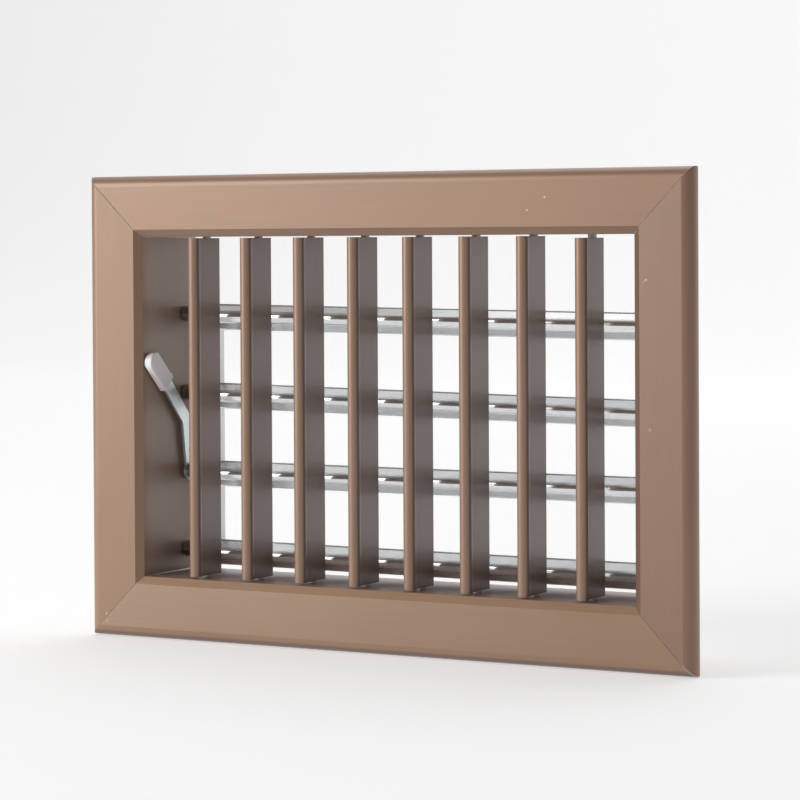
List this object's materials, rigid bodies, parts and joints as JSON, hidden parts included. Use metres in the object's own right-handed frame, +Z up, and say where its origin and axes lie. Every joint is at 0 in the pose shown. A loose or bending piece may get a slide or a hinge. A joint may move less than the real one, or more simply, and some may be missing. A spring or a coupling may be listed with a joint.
{
  "type": "fireplace vent grille",
  "caption": "Warm air vent grille with a mitred face frame, turning upright vanes and a lever-worked flap damper behind them.",
  "frame": {"origin": "centre of the opening in the plane where the rim's back meets the wall", "axes": "+X to the right across the face, +Y into the wall along the duct, +Z up"},
  "size_m": [0.288, 0.0698, 0.2],
  "materials": {
    "frame_bronze": "satin brown anodised",
    "vane_bronze": "satin brown anodised",
    "key_aluminium": "stamped, mill finish",
    "pin_nylon": "natural nylon",
    "blade_aluminium": "extruded, bright mill finish",
    "crank_zinc": "zinc die casting",
    "clip_steel": "spring steel",
    "link_steel": "zinc plated",
    "lever_steel": "zinc plated",
    "grip_plastic": "moulded, fine matt"
  },
  "bodies": {
    "frame": {"frame_top": "frame_bronze", "frame_bottom": "frame_bronze", "frame_left": "frame_bronze", "frame_right": "frame_bronze", "corner_keys": "key_aluminium"},
    "vane_1": {"vane_1": "vane_bronze", "vane_pins_1": "pin_nylon"},
    "vane_2": {"vane_2": "vane_bronze", "vane_pins_2": "pin_nylon"},
    "vane_3": {"vane_3": "vane_bronze", "vane_pins_3": "pin_nylon"},
    "vane_4": {"vane_4": "vane_bronze", "vane_pins_4": "pin_nylon"},
    "vane_5": {"vane_5": "vane_bronze", "vane_pins_5": "pin_nylon"},
    "vane_6": {"vane_6": "vane_bronze", "vane_pins_6": "pin_nylon"},
    "vane_7": {"vane_7": "vane_bronze", "vane_pins_7": "pin_nylon"},
    "vane_8": {"vane_8": "vane_bronze", "vane_pins_8": "pin_nylon"},
    "damper_1": {"damper_blade_1": "blade_aluminium", "damper_crank_1": "crank_zinc", "damper_plug_1": "crank_zinc", "link_clip_1": "clip_steel"},
    "damper_2": {"damper_blade_2": "blade_aluminium", "damper_crank_2": "crank_zinc", "damper_plug_2": "crank_zinc", "link_clip_2": "clip_steel"},
    "damper_3": {"damper_blade_3": "blade_aluminium", "damper_crank_3": "crank_zinc", "damper_plug_3": "crank_zinc", "link_clip_3": "clip_steel", "lever": "lever_steel", "lever_grip": "grip_plastic"},
    "damper_4": {"damper_blade_4": "blade_aluminium", "damper_crank_4": "crank_zinc", "damper_plug_4": "crank_zinc", "link_clip_4": "clip_steel"},
    "link": {"link_bar": "link_steel"}
  },
  "joints": [
    {"name": "vane_1_turn", "type": "hinge", "parent": "frame", "child": "vane_1", "pos_m": [-0.09275, 0.0105, 0], "axis": [0, 0, 1], "range_deg": [-90, 90]},
    {"name": "vane_2_turn", "type": "hinge", "parent": "frame", "child": "vane_2", "pos_m": [-0.06625, 0.0105, 0], "axis": [0, 0, 1], "range_deg": [-90, 90]},
    {"name": "vane_3_turn", "type": "hinge", "parent": "frame", "child": "vane_3", "pos_m": [-0.03975, 0.0105, 0], "axis": [0, 0, 1], "range_deg": [-90, 90]},
    {"name": "vane_4_turn", "type": "hinge", "parent": "frame", "child": "vane_4", "pos_m": [-0.01325, 0.0105, 0], "axis": [0, 0, 1], "range_deg": [-90, 90]},
    {"name": "vane_5_turn", "type": "hinge", "parent": "frame", "child": "vane_5", "pos_m": [0.01325, 0.0105, 0], "axis": [0, 0, 1], "range_deg": [-90, 90]},
    {"name": "vane_6_turn", "type": "hinge", "parent": "frame", "child": "vane_6", "pos_m": [0.03975, 0.0105, 0], "axis": [0, 0, 1], "range_deg": [-90, 90]},
    {"name": "vane_7_turn", "type": "hinge", "parent": "frame", "child": "vane_7", "pos_m": [0.06625, 0.0105, 0], "axis": [0, 0, 1], "range_deg": [-90, 90]},
    {"name": "vane_8_turn", "type": "hinge", "parent": "frame", "child": "vane_8", "pos_m": [0.09275, 0.0105, 0], "axis": [0, 0, 1], "range_deg": [-90, 90]},
    {"name": "damper_1_turn", "type": "hinge", "parent": "frame", "child": "damper_1", "pos_m": [-0.1176, 0.03015, 0.03965], "axis": [0.9999, 0, -0.0119], "range_deg": [0, 77]},
    {"name": "damper_2_turn", "type": "hinge", "parent": "frame", "child": "damper_2", "pos_m": [-0.1176, 0.03015, 0.00505], "axis": [0.9999, 0, -0.0157], "range_deg": [0, 77]},
    {"name": "damper_3_turn", "type": "hinge", "parent": "frame", "child": "damper_3", "pos_m": [-0.1176, 0.03015, -0.02955], "axis": [1, 0, -0.0013], "range_deg": [0, 77]},
    {"name": "damper_4_turn", "type": "hinge", "parent": "frame", "child": "damper_4", "pos_m": [-0.1176, 0.03015, -0.06415], "axis": [1, 0, -0.003], "range_deg": [0, 77]},
    {"name": "link_turn", "type": "hinge", "parent": "damper_3", "child": "link", "pos_m": [-0.10961, 0.04537, -0.0345], "axis": [1, 0, -0.0013], "range_deg": [-77, 0]}
  ],
  "couplings": [
    {"joint": "damper_1_turn", "follows": "damper_3_turn", "ratio": 1},
    {"joint": "damper_2_turn", "follows": "damper_3_turn", "ratio": 1},
    {"joint": "damper_4_turn", "follows": "damper_3_turn", "ratio": 1},
    {"joint": "link_turn", "follows": "damper_3_turn", "ratio": -1}
  ]
}
